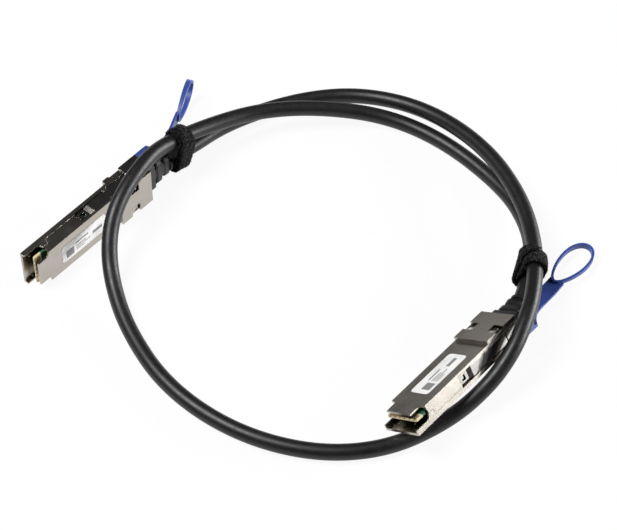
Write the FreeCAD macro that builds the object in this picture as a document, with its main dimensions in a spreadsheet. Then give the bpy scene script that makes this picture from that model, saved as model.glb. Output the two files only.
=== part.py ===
import FreeCAD, Part
import math
import os
import Sketcher

# Direct attach copper cable: two identical plugs on one round cable that lies in a loop and a half,
# held together by two hook-and-loop ties.  All lengths in millimetres.
#
# Every plug is drawn in its own frame: x runs rearward from the tip of the upper nose plate,
# z is square to the label face (the label face is z = 0) and y runs across.

SIZES = {
    "body_width": 18.35,        # across the plug
    "body_depth": 8.5,          # label face to under face
    "head_front": 47.5,         # nose tip to the front of the raised rear cover
    "head_rear": 66.0,          # nose tip to the rear face
    "head_rise": 1.5,           # rear cover above the label face
    "keeper_drop": 1.95,        # latch keeper below the under face
    "cover_sheet": 0.6,
    "wall": 1.575,              # side walls of both shells
    "plate": 0.8,               # upper plate
    "nose_half": 6.5,           # half width of the upper nose plate
    "shoulder": 6.2,            # nose tip to the shoulders
    "lower_reach": 2.0,         # lower nose beyond the upper one
    "lip": 0.7,                 # thin side strips of the lower nose
    "lip_top": 6.0,             # top of these strips below the label face
    "seam_front": 3.8,          # seam depth at the front
    "seam_rear": 6.2,           # seam depth behind the hook
    "seam_hook": 9.6,           # where the seam steps down
    "card_width": 16.2,
    "card_depth": 1.0,
    "card_level": 2.8,          # top of the paddle card below the label face
    "card_neck": 14.4,          # card width between the walls
    "card_rear": 44.0,
    "arm_top": 1.5,             # latch arm edges below the label face
    "arm_low": 6.5,
    "arm_sheet": 0.45,
    "arm_inset": 0.425,         # outer face of the arm below the side of the plug
    "arm_front": 28.0,
    "ramp_front": 33.0,
    "ramp_rear": 35.3,
    "ramp_drop": 0.7,
    "pocket_front": 27.3,
    "fit_gap": 0.3,             # room around every moving part
    "travel": 2.5,              # stroke of the latch
    "bar_ahead": 7.8,           # cross bar of the latch, from ahead of the rear face
    "bar_behind": 2.5,          # to behind it
    "bar_sheet": 0.5,
    "tongue": 4.0,
    "yoke_behind": 9.5,         # rear end of the yoke behind the rear face
    "yoke_sheet": 1.3,
    "yoke_cheek": 3.6,          # top of the cheeks below the label face
    "strap_width": 6.6,
    "strap_sheet": 1.2,
    "ring_half": 6.1,
    "ring_wall": 1.1,
    "ring_height": 2.8,         # at the far end; half as much where the ring meets the strap
    "boot_block": 4.6,
    "boot_rib": 3.3,
    "boot_groove": 1.4,
    "boot_width": 16.0,
    "boot_round": 3.0,          # corner radius of the boot's outline
    "boot_soft": 0.6,           # rounding of its rib edges
    "boot_depth": 7.6,
    "boot_axis": 4.6,           # cable axis below the label face
    "label_front": 13.0,
    "label_rear": 39.0,
    "label_width": 9.8,
    "label_sheet": 0.1,
    "label_round": 1.6,
    "cable_diameter": 6.8,
    "tie_width": 7.5,
    "tie_sheet": 1.5,
    "tie_gap": 0.6,
    "screw_radius": 1.1,
}

# Where each plug lies: nose tip, then yaw, pitch and roll in degrees, then the way its boot leans:
# angle of the bend and the turn of the bend direction from +y towards +z.
PLUGS = {
    "left": ((-112.18, -12.43, 9.175), (49.2, 0.0, 90.0), (9.3, 120.0)),
    "right": ((34.32, -88.53, 18.05), (50.0, 3.18, -32.3), (21.8, 46.0)),
}

# Pull tab poses, plug frame: length of strap before the ring, sideways lean of the strap
# away from the label side and roll of the ring about its own axis, both in degrees; offset of
# the strap across and square to the plug, offset of the ring across the strap, ring length.
TABS = {
    "left": (29.0, 26.5, 3.0, (0.0, -0.4), 0.0, 23.6),
    "right": (28.6, -1.0, 34.0, (1.39, 0.88), 0.8, 26.6),
}

# Points the cable is led through, from the left plug to the right one.
ROUTE = [
    (-53.67, 58.88, 7.85),
    (-35.88, 78.57, 4.0),
    (-4.98, 92.97, 3.5),
    (23.82, 96.17, 3.5),
    (52.52, 82.97, 7.4),
    (76.22, 54.57, 13.8),
    (89.72, 23.17, 16.2),
    (93.62, -5.43, 17.8),
    (90.82, -31.53, 21.4),
    (86.72, -45.33, 21.2),
    (80.92, -58.33, 17.2),
    (71.22, -69.53, 9.6),
    (55.12, -82.03, 3.5),
    (30.12, -95.93, 3.4),
    (0.82, -98.03, 3.4),
    (-30.68, -87.53, 3.4),
    (-58.08, -65.43, 3.4),
    (-75.28, -36.23, 3.5),
    (-83.08, -12.13, 7.4),
    (-84.08, 4.07, 16.4),
    (-79.88, 17.77, 23.4),
    (-70.68, 35.07, 26.0),
    (-62.38, 49.47, 21.6),
    (-44.48, 65.07, 16.4),
    (-22.18, 78.17, 12.0),
    (3.72, 81.77, 10.2),
    (33.72, 82.07, 4.4),
    (60.12, 67.17, 3.4),
    (84.22, 39.67, 3.6),
    (92.42, 17.07, 6.4),
    (93.22, -4.13, 9.2),
    (90.52, -15.58, 10.58),
]

# Ties: length of cable between the boot and the middle of the tie, counted back from the
# far end where it is negative.  The tie also holds the strand that lies nearest there.
TIES = {
    "left_tie": 4.6,
    "right_tie": -12.8,
}


class Size:
    """A number that remembers the spreadsheet formula it came from."""

    def __init__(self, value, text):
        self.value = float(value)
        self.text = text

    def join(self, sign, other, value):
        return Size(value, "(%s %s %s)" % (self.text, sign, other.text))

    def __add__(self, other):
        other = as_size(other)
        return self.join("+", other, self.value + other.value)

    def __sub__(self, other):
        other = as_size(other)
        return self.join("-", other, self.value - other.value)

    def __mul__(self, other):
        other = as_size(other)
        return self.join("*", other, self.value * other.value)

    def __truediv__(self, other):
        other = as_size(other)
        return self.join("/", other, self.value / other.value)

    def __radd__(self, other):
        return as_size(other) + self

    def __rsub__(self, other):
        return as_size(other) - self

    def __rmul__(self, other):
        return as_size(other) * self

    def __neg__(self):
        return as_size(0.0) - self


def as_size(number):
    if isinstance(number, Size):
        return number
    return Size(number, "(0 - %s)" % -number if number < 0 else "%s" % number)


class Sizes:
    """Spreadsheet cells by their alias."""


def make_sheet(doc):
    sheet = doc.addObject("Spreadsheet::Sheet", "sizes")
    cells = Sizes()
    for row, (alias, value) in enumerate(SIZES.items(), start=1):
        sheet.set("A%d" % row, alias)
        sheet.set("B%d" % row, str(value))
        sheet.setAlias("B%d" % row, alias)
        setattr(cells, alias, Size(value, "sizes.%s" % alias))
    cells.bar_front = cells.head_rear - cells.bar_ahead
    cells.bar_rear = cells.head_rear + cells.bar_behind
    cells.yoke_rear = cells.head_rear + cells.yoke_behind
    doc.recompute()
    return cells


PLANE_ROLES = {"z": "XY_Plane", "y": "XZ_Plane", "x": "YZ_Plane"}


def plane_of(body, axis):
    for plane in body.Origin.OriginFeatures:
        if getattr(plane, "Role", "") == PLANE_ROLES[axis]:
            return plane
    raise ValueError("no plane for " + axis)


def outline_sketch(body, name, axis, level, points):
    """Closed outline on a plane square to the axis, every corner tied to the spreadsheet."""
    sketch = body.newObject("Sketcher::SketchObject", name)
    sketch.AttachmentSupport = [(plane_of(body, axis), "")]
    sketch.MapMode = "FlatFace"
    level = as_size(level)
    sketch.AttachmentOffset = FreeCAD.Placement(FreeCAD.Vector(0, 0, level.value), FreeCAD.Rotation())
    sketch.setExpression("AttachmentOffset.Base.z", level.text)
    corners = [(as_size(a), as_size(b)) for a, b in points]
    count = len(corners)
    for index in range(count):
        start, end = corners[index], corners[(index + 1) % count]
        sketch.addGeometry(Part.LineSegment(FreeCAD.Vector(start[0].value, start[1].value, 0),
                                            FreeCAD.Vector(end[0].value, end[1].value, 0)))
    for index in range(count):
        sketch.addConstraint(Sketcher.Constraint("Coincident", index, 2, (index + 1) % count, 1))
    for index, corner in enumerate(corners):
        for kind, rail, size in (("DistanceX", -2, corner[0]), ("DistanceY", -1, corner[1])):
            if abs(size.value) < 1e-9:
                sketch.addConstraint(Sketcher.Constraint("PointOnObject", index, 1, rail))
            else:
                number = sketch.addConstraint(Sketcher.Constraint(kind, -1, 1, index, 1, size.value))
                sketch.setExpression("Constraints[%d]" % number, size.text)
    return sketch


def add_slab(body, name, axis, low, high, points):
    """Pad the outline from low to high along the axis."""
    low, high = as_size(low), as_size(high)
    level = -high if axis == "y" else low
    pad = body.newObject("PartDesign::Pad", name)
    pad.Profile = outline_sketch(body, name + "_outline", axis, level, points)
    pad.Length = high.value - low.value
    pad.setExpression("Length", (high - low).text)
    body.Tip = pad
    return pad


def cut_slab(body, name, axis, low, high, points):
    """Pocket the outline from high down to low along the axis."""
    low, high = as_size(low), as_size(high)
    level = -low if axis == "y" else high
    pocket = body.newObject("PartDesign::Pocket", name)
    pocket.Profile = outline_sketch(body, name + "_outline", axis, level, points)
    pocket.Length = high.value - low.value
    pocket.setExpression("Length", (high - low).text)
    body.Tip = pocket
    return pocket


def rectangle(low_a, high_a, low_b, high_b):
    return [(low_a, low_b), (high_a, low_b), (high_a, high_b), (low_a, high_b)]


def new_body(doc, label, placement):
    body = doc.addObject("PartDesign::Body", label)
    body.Label = label
    body.Placement = placement
    return body


def round_upright_edges(body, name, size, height):
    """Round the edges as long as the piece is thick."""
    tip = body.Tip
    fillet = body.newObject("PartDesign::Fillet", name)
    edges = ["Edge%d" % number for number, edge in enumerate(tip.Shape.Edges, start=1)
             if abs(edge.Length - height.value) < 1e-4]
    fillet.Base = (tip, edges)
    fillet.Radius = size.value
    fillet.setExpression("Radius", size.text)
    body.Tip = fillet
    return fillet


def recess_cuts(body, s, low, high):
    """Latch recess on both sides of a shell: a shallow run and a deep pocket under the arm tip."""
    half = s.body_width / 2
    floor = half - s.arm_inset - s.arm_sheet - s.fit_gap
    pocket_rear = s.ramp_rear + s.travel + 1.2
    for side, sign in (("left", 1), ("right", -1)):
        inner, outer = (floor, half + 1) if sign > 0 else (-half - 1, -floor)
        cut_slab(body, side + "_arm_recess", "y", inner, outer,
                 rectangle(s.pocket_front, s.head_rear + 2, low, high))
        deep = half - s.wall - 0.5
        inner, outer = (deep, half + 1) if sign > 0 else (-half - 1, -deep)
        cut_slab(body, side + "_tip_pocket", "y", inner, outer,
                 rectangle(s.pocket_front, pocket_rear, low, high))


def side_nicks(body, s, names, fronts, low, high):
    """Small square nicks on both sides, at each end of a retaining tab."""
    half = s.body_width / 2
    for name, a, b in ((names[0], half - 0.6, half + 1), (names[1], -half - 1, -half + 0.6)):
        for number, front in enumerate(fronts):
            cut_slab(body, "%s_nick_%d" % (name, number), "y", a, b, rectangle(front, front + 0.5, low, high))


def make_upper_shell(doc, s, label, placement):
    """Label side shell: plate with a narrower nose, side walls with a stepped lower edge."""
    body = new_body(doc, label, placement)
    half = s.body_width / 2
    inner = half - s.wall
    nose = [(0, -s.nose_half), (0, s.nose_half), (s.shoulder - 0.7, s.nose_half), (s.shoulder, half - 0.4),
            (s.shoulder, half), (s.head_rear, half), (s.head_rear, -half), (s.shoulder, -half),
            (s.shoulder, -half + 0.4), (s.shoulder - 0.7, -s.nose_half)]
    add_slab(body, "plate", "z", -s.plate, 0, nose)
    side = [(s.shoulder, 0), (s.shoulder + 0.6, -s.seam_front), (s.seam_hook, -s.seam_front),
            (s.seam_hook + 0.5, -s.seam_rear), (s.head_rear, -s.seam_rear), (s.head_rear, 0)]
    add_slab(body, "left_wall", "y", inner, half, side)
    add_slab(body, "right_wall", "y", -half, -inner, side)
    add_slab(body, "rear_wall", "x", s.head_rear - 1, s.head_rear,
             rectangle(-half, half, -s.seam_rear, 0))
    recess_cuts(body, s, -s.arm_low - s.fit_gap, -s.arm_top + s.fit_gap)
    edge = half - s.cover_sheet
    for name, low, high in (("left_cover_seat", edge, half + 1), ("right_cover_seat", -half - 1, -edge)):
        cut_slab(body, name, "z", -s.arm_top + s.fit_gap - 0.5, 1,
                 rectangle(s.head_front, s.head_rear + 1, low, high))
    for name, a, b in (("left_tabs", half - 0.12, half), ("right_tabs", -half, -half + 0.12)):
        add_slab(body, name, "y", a, b, rectangle(44.6, 46.4, -s.arm_top - 0.5, -s.arm_top + s.fit_gap + 0.3))
    side_nicks(body, s, ("left", "right"), (44.1, 46.4), -s.arm_top + s.fit_gap - 0.2, -s.arm_top + s.fit_gap + 0.45)
    for name, low, high in (("left_bead", 3.6, 4.4), ("right_bead", -4.4, -3.6)):
        cut_slab(body, name, "z", -0.15, 1, rectangle(s.shoulder + 1, s.label_front - 1.4, low, high))
    return body


def make_lower_shell(doc, s, label, placement):
    """Under side shell: recessed floor between two side strips, deeper at the head."""
    body = new_body(doc, label, placement)
    half = s.body_width / 2
    inner = half - s.wall
    low = -s.body_depth
    add_slab(body, "floor", "z", low, low + 1.1, rectangle(-s.lower_reach, s.head_rear, -half, half))
    side = [(-s.lower_reach, low), (-s.lower_reach, -s.lip_top), (s.shoulder - 1.0, -s.lip_top),
            (s.shoulder, -5.3), (s.shoulder + 0.6, -s.seam_front), (s.seam_hook, -s.seam_front),
            (s.seam_hook + 0.5, -s.seam_rear), (s.head_rear, -s.seam_rear), (s.head_rear, low)]
    add_slab(body, "left_wall", "y", inner, half, side)
    add_slab(body, "right_wall", "y", -half, -inner, side)
    cut_slab(body, "nose_clearance", "z", low + 1.1, -1,
             rectangle(-s.lower_reach - 1, s.shoulder + 1.0, -half + s.lip, half - s.lip))
    cut_slab(body, "floor_dish", "z", low - 1, low + 0.5,
             rectangle(1.5, s.head_front - 3, -half + 1.3, half - 1.3))
    add_slab(body, "rear_wall", "x", s.head_rear - 1, s.head_rear, rectangle(-inner, inner, low, -s.seam_rear))
    add_slab(body, "head_floor", "z", low - s.keeper_drop + 0.65, low + 0.5,
             rectangle(s.bar_front - s.fit_gap, s.head_rear, -inner - 0.3, inner + 0.3))
    recess_cuts(body, s, -s.arm_low - s.fit_gap, -s.arm_top + s.fit_gap)
    floor = half - s.arm_inset - s.arm_sheet - s.fit_gap
    for name, a, b in (("left_bar_seat", floor, half + 1), ("right_bar_seat", -half - 1, -floor)):
        cut_slab(body, name, "z", low - 3, -1, rectangle(s.bar_front - 0.5, s.head_rear + 1, a, b))
    for side_name, y in (("left", 6.6), ("right", -6.6)):
        cut_slab(body, side_name + "_nose_hole", "z", low - 1, low + 2, rectangle(0.2, 1.2, y - 0.5, y + 0.5))
    for name, a, b in (("left_tabs", half - 0.12, half), ("right_tabs", -half, -half + 0.12)):
        add_slab(body, name, "y", a, b, rectangle(45.0, 46.6, -s.arm_low - s.fit_gap - 0.4, -s.arm_low + 0.7))
    side_nicks(body, s, ("low_left", "low_right"), (44.5, 46.6), -s.arm_low - s.fit_gap - 0.5, -s.arm_low - s.fit_gap + 0.2)
    return body


def make_rear_cover(doc, s, label, placement):
    """Raised sheet cover over the head: top with two windows, front wall and folded sides."""
    body = new_body(doc, label, placement)
    half = s.body_width / 2
    sheet = s.cover_sheet
    add_slab(body, "top", "z", s.head_rise - sheet, s.head_rise,
             rectangle(s.head_front, s.head_rear, -half, half))
    add_slab(body, "front_wall", "x", s.head_front, s.head_front + sheet,
             rectangle(-half, half, 0, s.head_rise))
    add_slab(body, "rear_wall", "x", s.head_rear - sheet, s.head_rear, rectangle(-half, half, 0, s.head_rise))
    fold = rectangle(s.head_front, s.head_rear, -s.arm_top + s.fit_gap, s.head_rise)
    add_slab(body, "left_fold", "y", half - sheet, half, fold)
    add_slab(body, "right_fold", "y", -half, -half + sheet, fold)
    front = s.head_front + 6.0
    for name, a, b in (("left_window", 4.2, half + 1), ("right_window", -half - 1, -4.2)):
        cut_slab(body, name, "z", 0.35, s.head_rise + 1, rectangle(front, front + 4.9, a, b))
    for name, a, b in (("left_tongue", 4.8, 7.2), ("right_tongue", -7.2, -4.8)):
        add_slab(body, name, "y", a, b,
                 [(front - 0.4, s.head_rise - sheet), (front - 0.4, s.head_rise - 0.05), (front, s.head_rise - 0.05),
                  (front + 3.0, 0.6), (front + 3.6, 0.95), (front + 3.8, 0.65), (front + 3.0, 0.15)])
    for number, x in enumerate((61.0, 62.9)):
        for name, a, b in (("left", half - 0.5, half + 1), ("right", -half - 1, -half + 0.5)):
            cut_slab(body, "%s_nick_%d" % (name, number), "z", -3, -0.6, rectangle(x, x + 0.5, a, b))
    return body


def make_paddle_card(doc, s, label, placement):
    """Circuit card: a wide front, a neck beside the latch tips and ears held between the walls."""
    body = new_body(doc, label, placement)
    wide, neck = s.card_width / 2, s.card_neck / 2
    ear = s.body_width / 2 - s.wall
    half = [(0.5, wide - 0.4), (0.9, wide), (s.shoulder, wide), (s.shoulder, neck),
            (s.card_rear - 3.4, neck), (s.card_rear - 3.4, ear), (s.card_rear, ear)]
    outline = half + [(x, -y) for x, y in reversed(half)]
    add_slab(body, "board", "z", -s.card_level - s.card_depth, -s.card_level, outline)
    return body


def make_keeper(doc, s, label, placement):
    """Plate under the front of the head that keeps the latch in its slot."""
    body = new_body(doc, label, placement)
    half = s.body_width / 2
    low = -s.body_depth
    front = s.head_front + 0.9
    side = [(front, low), (front, low - s.keeper_drop + 0.3), (front + 0.5, low - s.keeper_drop),
            (front + 3.2, low - s.keeper_drop), (front + 3.9, low - s.keeper_drop + 0.8),
            (s.head_front + 10.1, low - s.keeper_drop + 0.8), (s.head_front + 10.1, low)]
    add_slab(body, "keeper", "y", -half, half, side)
    return body


def make_screw(doc, s, label, placement, y):
    """Low round screw head with a cross slot in the keeper."""
    body = new_body(doc, label, placement)
    low = -s.body_depth - s.keeper_drop + 0.8
    x = s.head_front + 7.4
    r = s.screw_radius
    corners = []
    for step in range(12):
        turn = 2 * math.pi * step / 12
        corners.append((x + r * math.cos(turn), y + r * math.sin(turn)))
    add_slab(body, "screw_head", "z", low - 0.35, low, corners)
    for name, a, b in (("slot_along", 0.75, 0.16), ("slot_across", 0.16, 0.75)):
        cut_slab(body, name, "z", low - 1, low - 0.15, rectangle(x - r * a, x + r * a, y - r * b, y + r * b))
    return body


def make_latch(doc, s, label, placement):
    """Sliding latch: two side arms with a sunk tip, joined by a bar under the head."""
    body = new_body(doc, label, placement)
    half = s.body_width / 2
    outer = half - s.arm_inset
    inner = outer - s.arm_sheet
    low = -s.body_depth - s.keeper_drop - 0.15
    bar_side = half - 0.025
    for side, sign in (("left", 1), ("right", -1)):
        path = [(s.arm_front, inner - s.ramp_drop), (s.ramp_front, inner - s.ramp_drop), (s.ramp_rear, inner),
                (s.bar_rear, inner), (s.bar_rear, outer), (s.ramp_rear - 0.2, outer),
                (s.ramp_front - 0.2, outer - s.ramp_drop), (s.arm_front, outer - s.ramp_drop)]
        add_slab(body, side + "_arm", "z", -s.arm_low, -s.arm_top, [(x, y * sign) for x, y in path])
        a, b = (inner, bar_side) if sign > 0 else (-bar_side, -inner)
        add_slab(body, side + "_cheek", "y", a, b, rectangle(s.bar_front, s.bar_rear, low, -s.arm_top))
        if side == "left":
            add_slab(body, "bar", "z", low, low + s.bar_sheet,
                     rectangle(s.bar_front, s.bar_rear, -bar_side, bar_side))
    for side, a, b in (("left", inner - 1.5, half), ("right", -half, -inner + 1.5)):
        cut_slab(body, side + "_tip_window", "y", a, b,
                 [(29.3, -s.arm_low + 1.2), (31.4, -s.arm_low + 1.2), (31.4, -s.arm_top - 1.3), (30.4, -s.arm_top - 1.3),
                  (30.4, -s.arm_low + 2.2), (29.3, -s.arm_low + 2.2)])
    add_slab(body, "tongue", "z", low + 0.3, low + 0.3 + s.bar_sheet,
             rectangle(s.bar_rear - 1.5, s.bar_rear + s.tongue, -6.5, 6.5))
    return body


def make_label(doc, s, label, placement):
    """Blank sticker with rounded corners."""
    body = new_body(doc, label, placement)
    half = s.label_width / 2
    add_slab(body, "sheet", "z", 0, s.label_sheet, rectangle(s.label_front, s.label_rear, -half, half))
    doc.recompute()
    round_upright_edges(body, "corners", s.label_round, s.label_sheet)
    return body


def frame_at(origin, forward, up):
    """Placement whose x axis runs forward and whose z axis is nearest to up."""
    x_axis = FreeCAD.Vector(forward).normalize()
    y_axis = FreeCAD.Vector(up).cross(x_axis).normalize()
    z_axis = x_axis.cross(y_axis)
    matrix = FreeCAD.Matrix(x_axis.x, y_axis.x, z_axis.x, origin.x,
                            x_axis.y, y_axis.y, z_axis.y, origin.y,
                            x_axis.z, y_axis.z, z_axis.z, origin.z, 0, 0, 0, 1)
    return FreeCAD.Placement(matrix)


def round_bar(width, depth, corner, length):
    """Straight bar along x whose corners are rounded in small flats."""
    a, b = width / 2, depth / 2
    r = min(corner, a - 0.05, b - 0.05)
    points = []
    for number, (y, z) in enumerate(((1, 1), (-1, 1), (-1, -1), (1, -1))):
        for step in range(6):
            turn = math.radians(90 * number + 18 * step)
            points.append(FreeCAD.Vector(0, y * (a - r) + r * math.cos(turn), z * (b - r) + r * math.sin(turn)))
    return Part.Face(Part.makePolygon(points + points[:1])).extrude(FreeCAD.Vector(length, 0, 0))


def soft_rib(width, depth, corner, length, soft):
    """Rounded bar whose two ends step in a little, so that the rib looks soft."""
    core = round_bar(width - 1.4 * soft, depth - 1.4 * soft, corner - 0.7 * soft, length)
    for inset, share in ((soft * 0.35, 0.5), (soft, 0.0)):
        ring = round_bar(width - 1.4 * soft * share, depth - 1.4 * soft * share, corner, length - 2 * inset)
        ring.translate(FreeCAD.Vector(inset, 0, 0))
        core = core.fuse(ring)
    return core


def boot_frames(s, lean):
    """Placement at any length along the axis of the boot, which bends evenly behind its block."""
    angle, turn = math.radians(lean[0]), math.radians(lean[1])
    start = s.head_rear.value + s.boot_block.value
    length = 3 * s.boot_groove.value + 2 * s.boot_rib.value
    aside = FreeCAD.Vector(0, math.cos(turn), math.sin(turn))
    ahead = FreeCAD.Vector(1, 0, 0)

    def frame(along):
        bend = angle * along / length
        reach = length / angle
        origin = (FreeCAD.Vector(start, 0, -s.boot_axis.value) + ahead * (reach * math.sin(bend))
                  + aside * (reach * (1 - math.cos(bend))))
        return frame_at(origin, ahead * math.cos(bend) + aside * math.sin(bend), FreeCAD.Vector(0, 0, 1))

    return frame, length


def make_boot(doc, s, label, placement, lean):
    """Strain relief: a block against the head, then ribs on a slimmer core that follow the bend."""
    frame, length = boot_frames(s, lean)
    width, depth = s.boot_width.value, s.boot_depth.value
    rib, groove = s.boot_rib.value, s.boot_groove.value
    corner, soft = s.boot_round.value, s.boot_soft.value
    block = round_bar(width, depth, corner * 0.7, s.boot_block.value)
    block.Placement = FreeCAD.Placement(FreeCAD.Vector(s.head_rear.value, 0, -s.boot_axis.value + 0.1),
                                        FreeCAD.Rotation())
    solids = [block]
    steps = 6
    for step in range(steps):
        lap = 0.12 if step < steps - 1 else 0.06
        piece = round_bar(width * 0.58, depth * 0.86, corner, length / steps + lap)
        piece.Placement = frame(length * step / steps - 0.06)
        solids.append(piece)
    for number, share in enumerate((0.88, 0.74)):
        piece = soft_rib(width * share, depth * (0.98 - 0.04 * number), corner, rib, soft)
        piece.Placement = frame(groove + number * (rib + groove))
        solids.append(piece)
    collar = Part.makeCylinder(s.cable_diameter.value / 2 + 1.0, groove, FreeCAD.Vector(0, 0, 0),
                               FreeCAD.Vector(1, 0, 0))
    collar.Placement = frame(length - groove)
    solids.append(collar)
    beyond = Part.makeBox(9, 40, 40, FreeCAD.Vector(0, -20, -20))
    beyond.Placement = frame(length).multiply(beyond.Placement)
    shape = solids[0].multiFuse(solids[1:]).cut(beyond).removeSplitter()
    return add_feature(doc, label, shape, placement)


def add_feature(doc, label, shape, placement):
    feature = doc.addObject("Part::Feature", label)
    feature.Label = label
    feature.Shape = shape
    feature.Placement = placement.multiply(shape.Placement)
    return feature


def strap_frames(s, pose):
    """Placements along the strap: out of the yoke, then leaning, rolling and shifting evenly."""
    length, lean, roll, (aside, lift), side, reach = pose
    start = FreeCAD.Vector(s.yoke_rear.value, 0,
                           -s.body_depth.value - s.keeper_drop.value - 0.15 + s.yoke_sheet.value / 2)
    steps = 14
    frames = []
    point = FreeCAD.Vector(start)
    for step in range(steps + 1):
        leaning = ease(step / steps / 0.75)
        rolling = ease(step / steps / 0.5)
        angle, twist = math.radians(lean * leaning), math.radians(roll * rolling)
        forward = FreeCAD.Vector(math.cos(angle), 0, -math.sin(angle))
        level = FreeCAD.Vector(math.sin(angle), 0, math.cos(angle))
        across = FreeCAD.Vector(0, 1, 0)
        up = level * math.cos(twist) + across * -math.sin(twist)
        frames.append(frame_at(point + FreeCAD.Vector(0, aside, lift) * rolling, forward, up))
        point = point + forward * (length / steps)
    return frames


def ease(share):
    """Smooth step from 0 to 1."""
    share = max(0.0, min(1.0, share))
    return share * share * (3 - 2 * share)


def egg_face(length, half, inset, side):
    """Egg outline from x = 0 to the length, widest beyond its middle, moved inward by the inset."""
    count = 28
    points = []
    for step in range(count):
        turn = 2 * math.pi * step / count
        points.append((length / 2 * (1 - math.cos(turn)), half * math.sin(turn) * (1 - 0.2 * math.cos(turn))))
    moved = []
    for index, (x, y) in enumerate(points):
        before, after = points[index - 1], points[(index + 1) % count]
        along = FreeCAD.Vector(after[0] - before[0], after[1] - before[1], 0).normalize()
        moved.append(FreeCAD.Vector(x + along.y * inset, y - along.x * inset + side, 0))
    curve = Part.BSplineCurve()
    curve.interpolate(moved, PeriodicFlag=True)
    return Part.Face(Part.Wire([curve.toShape()]))


def make_pull_tab(doc, s, label, placement, pose):
    """Moulded pull tab: yoke around the boot, flat strap and an egg-shaped finger ring at its end."""
    half = s.body_width.value / 2 - 0.025
    low = -s.body_depth.value - s.keeper_drop.value - 0.15
    front, rear = s.bar_rear.value, s.yoke_rear.value
    sheet = s.yoke_sheet.value
    gap_half = s.boot_width.value / 2 + s.fit_gap.value
    plate = Part.makeBox(rear - front, 2 * half, sheet, FreeCAD.Vector(front, -half, low))
    solids = [plate]
    for y in (-half, gap_half):
        solids.append(Part.makeBox(rear - front - 1.5, half - gap_half, -s.yoke_cheek.value - low,
                                   FreeCAD.Vector(front, y, low)))
    frames = strap_frames(s, pose)
    side, reach = pose[4], pose[5]
    strap_half, sheet_half = s.strap_width.value / 2, s.strap_sheet.value / 2
    sections = []
    for number, frame in enumerate(frames):
        flare = (half - strap_half) * max(0.0, 1 - number / 4.5) ** 1.8
        share = max(0.0, number / (len(frames) - 1) - 0.8) / 0.2
        wide, shift = strap_half + flare - 0.4 * share, 0.7 * side * share
        low_y, high_y = -wide, shift + wide
        corners = [FreeCAD.Vector(0, y, z) for y, z in ((low_y, -sheet_half), (high_y, -sheet_half),
                                                        (high_y, sheet_half), (low_y, sheet_half))]
        wire = Part.makePolygon(corners + corners[:1])
        wire.Placement = frame
        sections.append(wire)
    strap = Part.makeLoft(sections, True, True)
    height, wall = s.ring_height.value, s.ring_wall.value
    into = FreeCAD.Vector(-2.5, 0, -height / 2)
    up = FreeCAD.Vector(0, 0, height)
    ring = egg_face(reach, s.ring_half.value, 0.0, side).extrude(up)
    hole = egg_face(reach, s.ring_half.value, wall, side).extrude(up * 1.4)
    ring.translate(into)
    hole.translate(into - up * 0.2)
    under = Part.Face(Part.makePolygon([FreeCAD.Vector(-3, 0, -height), FreeCAD.Vector(reach + 3, 0, -height),
                                        FreeCAD.Vector(reach + 3, 0, -height * 0.5),
                                        FreeCAD.Vector(-3, 0, 0), FreeCAD.Vector(-3, 0, -height)]))
    under = under.extrude(FreeCAD.Vector(0, 40, 0))
    under.translate(FreeCAD.Vector(0, -20, 0))
    ring = ring.cut(under)
    for thing in (ring, hole):
        thing.Placement = frames[-1].multiply(thing.Placement)
    solids += [strap, ring]
    shape = solids[0].multiFuse(solids[1:]).cut(hole)
    tongue = Part.makeBox(s.tongue.value, 13.0, s.bar_sheet.value, FreeCAD.Vector(front, -6.5, low + 0.3))
    shape = shape.cut(tongue).removeSplitter()
    return add_feature(doc, label, shape, placement)


def cable_ends(s):
    """Where the cable leaves each boot, with the way it heads."""
    ends = []
    for name in ("left", "right"):
        place, turns, lean = PLUGS[name]
        frame, length = boot_frames(s, lean)
        whole = plug_placement(name).multiply(frame(length))
        ends.append((whole.Base, whole.Rotation.multVec(FreeCAD.Vector(1, 0, 0))))
    return ends


def plug_placement(name):
    place, turns, lean = PLUGS[name]
    return FreeCAD.Placement(FreeCAD.Vector(*place), FreeCAD.Rotation(*turns))


def cable_points(s):
    (start, start_way), (end, end_way) = cable_ends(s)
    return [start] + [FreeCAD.Vector(*point) for point in ROUTE] + [end]


def cable_path(points):
    """Straight runs joined by tangent arcs."""
    runs = [(b - a).Length for a, b in zip(points, points[1:])]
    edges = []
    tail = points[0]
    tightest = 1e9
    for index in range(1, len(points) - 1):
        corner = points[index]
        back = (points[index - 1] - corner).normalize()
        ahead = (points[index + 1] - corner).normalize()
        turn = math.pi - back.getAngle(ahead)
        reach = 0.45 * min(runs[index - 1], runs[index])
        radius = reach / math.tan(turn / 2)
        tightest = min(tightest, radius)
        first, last = corner + back * reach, corner + ahead * reach
        middle_way = (back + ahead).normalize()
        middle = corner + middle_way * (radius / math.cos(turn / 2) - radius)
        edges.append(Part.LineSegment(tail, first).toShape())
        edges.append(Part.Arc(first, middle, last).toShape())
        tail = last
    edges.append(Part.LineSegment(tail, points[-1]).toShape())
    return Part.Wire(edges), tightest


def make_cable(doc, s):
    points = cable_points(s)
    path, tightest = cable_path(points)
    radius = s.cable_diameter.value / 2
    way = (points[1] - points[0]).normalize()
    section = Part.Wire(Part.makeCircle(radius, points[0], way))
    shape = path.makePipeShell([section], True, True)
    wanted = math.pi * radius ** 2 * path.Length
    print("cable length %.1f, tightest bend %.1f, volume %.0f of %.0f"
          % (path.Length, tightest, shape.Volume, wanted))
    for name, (way_out, leg) in (("left", (cable_ends(s)[0][1], points[1] - points[0])),
                                 ("right", (cable_ends(s)[1][1], points[-2] - points[-1]))):
        print(name, "cable leaves its boot at %.1f degrees" % math.degrees(way_out.getAngle(leg)))
    return add_feature(doc, "cable", shape, FreeCAD.Placement())


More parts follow.
